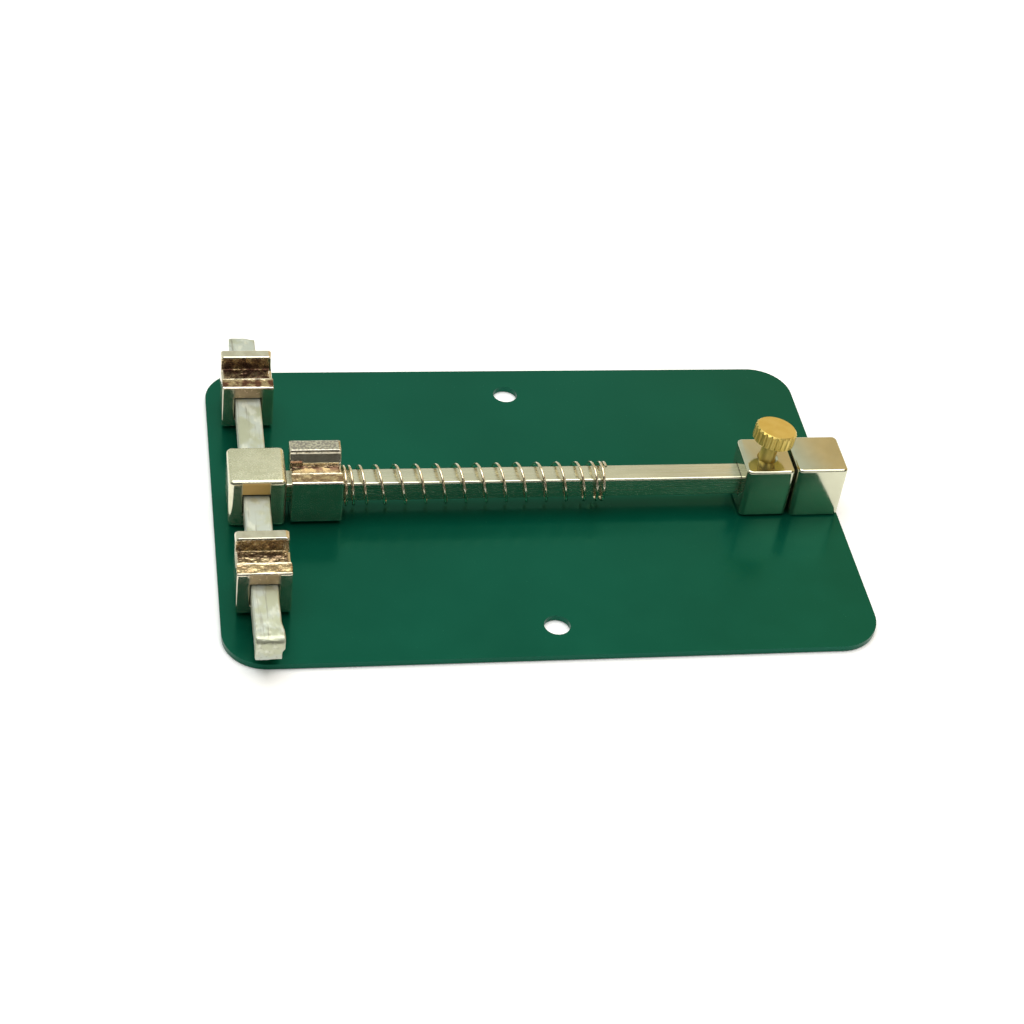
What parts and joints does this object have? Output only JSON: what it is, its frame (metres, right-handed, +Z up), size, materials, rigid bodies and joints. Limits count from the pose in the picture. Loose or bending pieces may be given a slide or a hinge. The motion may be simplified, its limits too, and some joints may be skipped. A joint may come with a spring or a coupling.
{
  "type": "circuit board holder vise",
  "caption": "Bench vise for small circuit boards: painted plate, cross bar with stepped clips, and a square rail with a spring, a sliding jaw and a lock slider.",
  "frame": {"origin": "centre of the base plate's underside", "axes": "+X along the guide rail from the cross bar towards the lock slider, +Y from the front edge to the rear edge, +Z up from the plate"},
  "size_m": [0.15, 0.1052, 0.0248],
  "materials": {
    "green_paint": "glossy dark green stoved paint with a fine orange-peel",
    "nickel": "bright warm nickel plating over polished zinc",
    "cast_nickel": "warm nickel plating over granular cast faces",
    "jaw_nickel": "warm nickel plating, rough and browned in the grooves, bright along the edges",
    "rail_nickel": "bright nickel plating with drawn lines along the rail",
    "zinc": "dull whitish zinc plating with handling marks",
    "brass": "turned and knurled brass",
    "spring_wire": "bright nickel-plated spring wire",
    "screw_zinc": "bright zinc-plated steel"
  },
  "bodies": {
    "base": {"base_plate": "green_paint", "left_block": "cast_nickel", "right_block": "nickel", "guide_rail": "rail_nickel", "cross_bar": "zinc", "left_screw_front": "screw_zinc", "left_screw_rear": "screw_zinc", "right_screw_inner": "screw_zinc", "right_screw_outer": "screw_zinc"},
    "front_clip": {"front_clip": "jaw_nickel"},
    "rear_clip": {"rear_clip": "jaw_nickel"},
    "rail_jaw": {"rail_jaw": "jaw_nickel", "clamp_spring": "spring_wire"},
    "lock_slider": {"lock_slider": "nickel"},
    "thumb_screw": {"thumb_screw": "brass"}
  },
  "joints": [
    {"name": "front_clip_slide", "type": "slide", "parent": "base", "child": "front_clip", "axis": [0, 1, 0], "range_m": [-0.0107, 0.0174]},
    {"name": "rear_clip_slide", "type": "slide", "parent": "base", "child": "rear_clip", "axis": [0, 1, 0], "range_m": [-0.0218, 0.0087]},
    {"name": "rail_jaw_slide", "type": "slide", "parent": "base", "child": "rail_jaw", "axis": [1, 0, 0], "range_m": [-0.0009, 0.05], "deforming": ["clamp_spring"]},
    {"name": "lock_slider_slide", "type": "slide", "parent": "base", "child": "lock_slider", "axis": [1, 0, 0], "range_m": [-0.0326, 0]},
    {"name": "thumb_screw_turn", "type": "hinge", "parent": "lock_slider", "child": "thumb_screw", "pos_m": [0.0552, -0.0013, 0.0109], "axis": [0.1384, 0.1045, 0.9848], "continuous": true}
  ]
}
